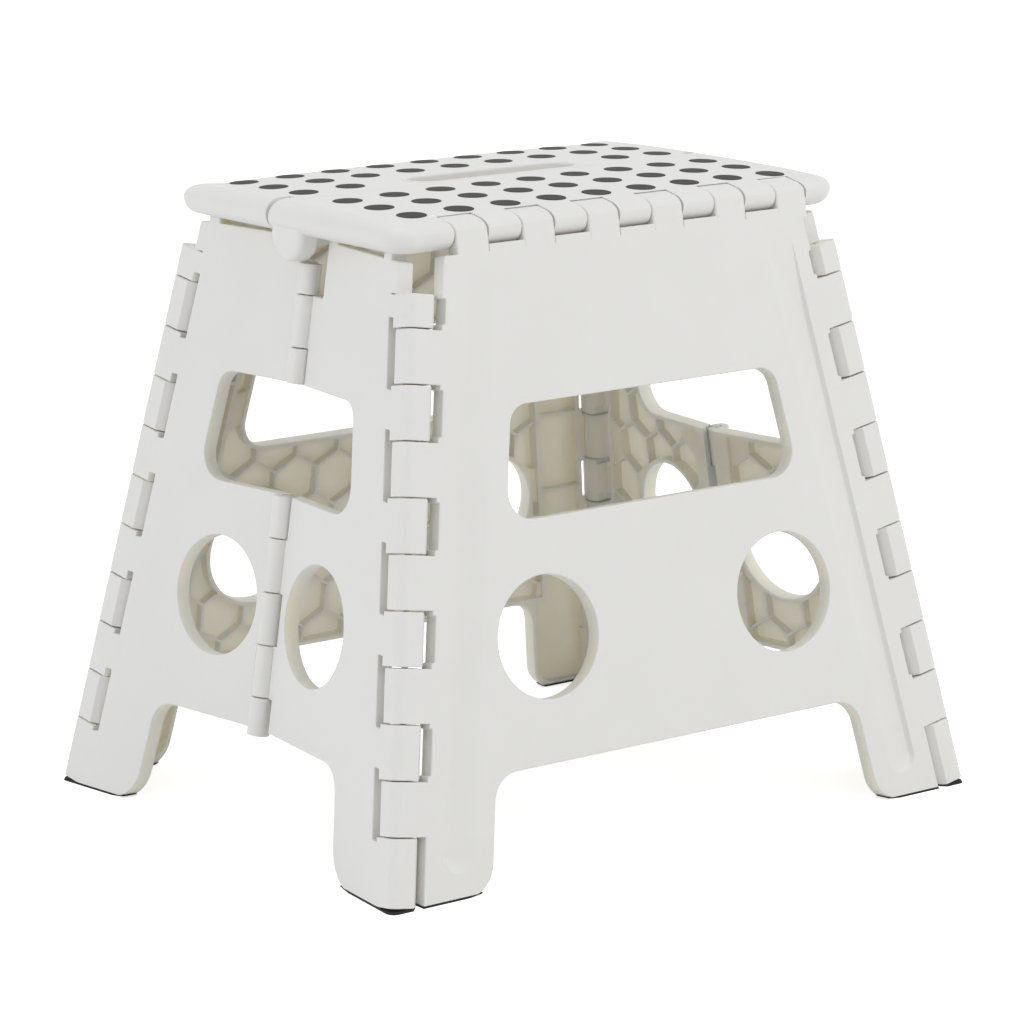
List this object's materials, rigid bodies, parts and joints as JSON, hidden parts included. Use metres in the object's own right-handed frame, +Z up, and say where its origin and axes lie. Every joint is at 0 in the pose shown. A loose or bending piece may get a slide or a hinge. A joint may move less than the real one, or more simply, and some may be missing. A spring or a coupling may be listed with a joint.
{
  "type": "folding step stool",
  "caption": "Folding step stool: two-leaf seat with grip discs and a hand slot, leaning panels with windows, and ends that fold inwards between them.",
  "frame": {"origin": "on the floor, below the middle of the seat", "axes": "+X along the seat and its hinges, +Y from the front panel to the back panel, +Z up"},
  "size_m": [0.4494, 0.3648, 0.3904],
  "materials": {
    "white_plastic": "satin moulded, warm white",
    "black_rubber": "matte",
    "steel": "drawn wire"
  },
  "bodies": {
    "back_frame": {"back_panel": "white_plastic", "back_left_panel_pad": "black_rubber", "back_right_panel_pad": "black_rubber", "back_left_corner_rod": "steel", "back_right_corner_rod": "steel"},
    "back_seat": {"seat_back_half": "white_plastic", "back_edge_rod": "steel", "left_seam_rod": "steel", "right_seam_rod": "steel"},
    "front_seat": {"seat_front_half": "white_plastic", "front_edge_rod": "steel"},
    "front_frame": {"front_panel": "white_plastic", "front_left_panel_pad": "black_rubber", "front_right_panel_pad": "black_rubber", "front_left_corner_rod": "steel", "front_right_corner_rod": "steel"},
    "front_left_wing": {"left_front_leaf": "white_plastic", "left_front_leaf_pad": "black_rubber"},
    "front_right_wing": {"right_front_leaf": "white_plastic", "right_front_leaf_pad": "black_rubber", "right_upper_centre_rod": "steel", "right_lower_centre_rod": "steel"},
    "back_right_wing": {"right_back_leaf": "white_plastic", "right_back_leaf_pad": "black_rubber"},
    "back_left_wing": {"left_back_leaf": "white_plastic", "left_back_leaf_pad": "black_rubber", "left_upper_centre_rod": "steel", "left_lower_centre_rod": "steel"}
  },
  "joints": [
    {"name": "back_edge_fold", "type": "hinge", "parent": "back_frame", "child": "back_seat", "pos_m": [0, 0.10722, 0.3795], "axis": [-1, 0, 0], "range_deg": [0, 81.55]},
    {"name": "seat_fold", "type": "hinge", "parent": "back_seat", "child": "front_seat", "pos_m": [0, 0, 0.3684], "axis": [1, 0, 0], "range_deg": [0, 180]},
    {"name": "front_edge_fold", "type": "hinge", "parent": "front_seat", "child": "front_frame", "pos_m": [0, -0.10722, 0.3795], "axis": [-1, 0, 0], "range_deg": [0, 81.55]},
    {"name": "front_left_corner_fold", "type": "hinge", "parent": "front_frame", "child": "front_left_wing", "pos_m": [-0.21339, -0.17175, 0], "axis": [-0.1711, -0.1652, -0.9713], "range_deg": [0, 84.55]},
    {"name": "front_right_corner_fold", "type": "hinge", "parent": "front_frame", "child": "front_right_wing", "pos_m": [0.21339, -0.17175, 0], "axis": [-0.1711, 0.1652, 0.9713], "range_deg": [0, 84.55]},
    {"name": "back_right_corner_fold", "type": "hinge", "parent": "back_frame", "child": "back_right_wing", "pos_m": [0.21339, 0.17175, 0], "axis": [0.1711, 0.1652, -0.9713], "range_deg": [0, 84.55]},
    {"name": "back_left_corner_fold", "type": "hinge", "parent": "back_frame", "child": "back_left_wing", "pos_m": [-0.21339, 0.17175, 0], "axis": [0.1711, -0.1652, 0.9713], "range_deg": [0, 84.55]}
  ],
  "couplings": [
    {"joint": "back_edge_fold", "follows": "seat_fold", "ratio": 0.45306},
    {"joint": "front_edge_fold", "follows": "seat_fold", "ratio": 0.45306},
    {"joint": "front_left_corner_fold", "follows": "seat_fold", "ratio": 0.46973},
    {"joint": "front_right_corner_fold", "follows": "seat_fold", "ratio": 0.46973},
    {"joint": "back_right_corner_fold", "follows": "seat_fold", "ratio": 0.46973},
    {"joint": "back_left_corner_fold", "follows": "seat_fold", "ratio": 0.46973}
  ]
}
